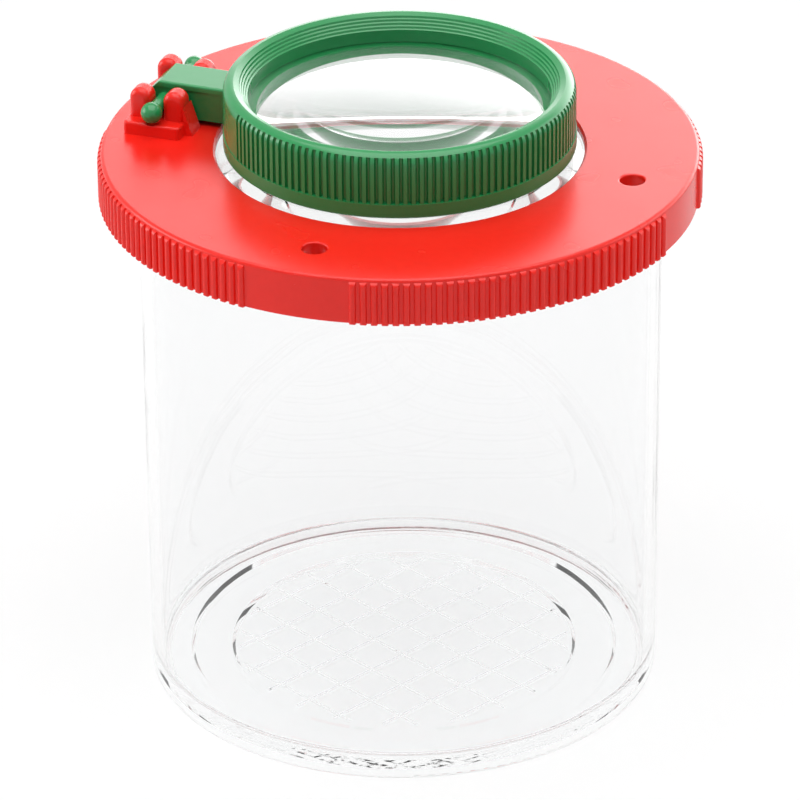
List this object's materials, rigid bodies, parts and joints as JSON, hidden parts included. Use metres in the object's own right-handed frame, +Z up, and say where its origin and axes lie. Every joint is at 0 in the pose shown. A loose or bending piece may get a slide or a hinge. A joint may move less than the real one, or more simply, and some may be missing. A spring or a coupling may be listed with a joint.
{
  "type": "insect viewer",
  "caption": "Clear jar for watching insects, with a ribbed push-on lid, air holes, a lens set in the lid and a second lens on a flip-up arm.",
  "frame": {"origin": "centre of the jar's foot, on the surface it stands on", "axes": "+Z up along the jar's axis, -Y towards the front as pictured, +X to the picture's right"},
  "size_m": [0.08, 0.08, 0.0865],
  "materials": {
    "clear_jar": "clear moulded polystyrene, polished",
    "clear_lens": "clear moulded acrylic, polished",
    "red_plastic": "glossy moulded plastic",
    "green_plastic": "glossy moulded plastic"
  },
  "bodies": {
    "jar": {"jar": "clear_jar"},
    "lid": {"lid": "red_plastic", "lid_lens": "clear_lens"},
    "magnifier": {"magnifier_frame": "green_plastic", "magnifier_lens": "clear_lens", "lens_retainer": "green_plastic"}
  },
  "joints": [
    {"name": "lid_lift", "type": "slide", "parent": "jar", "child": "lid", "axis": [0, 0, 1], "range_m": [0, 0.08]},
    {"name": "magnifier_flip", "type": "hinge", "parent": "lid", "child": "magnifier", "pos_m": [-0.03016, 0.01098, 0.0802], "axis": [-0.342, -0.9397, 0], "range_deg": [0, 180]}
  ]
}
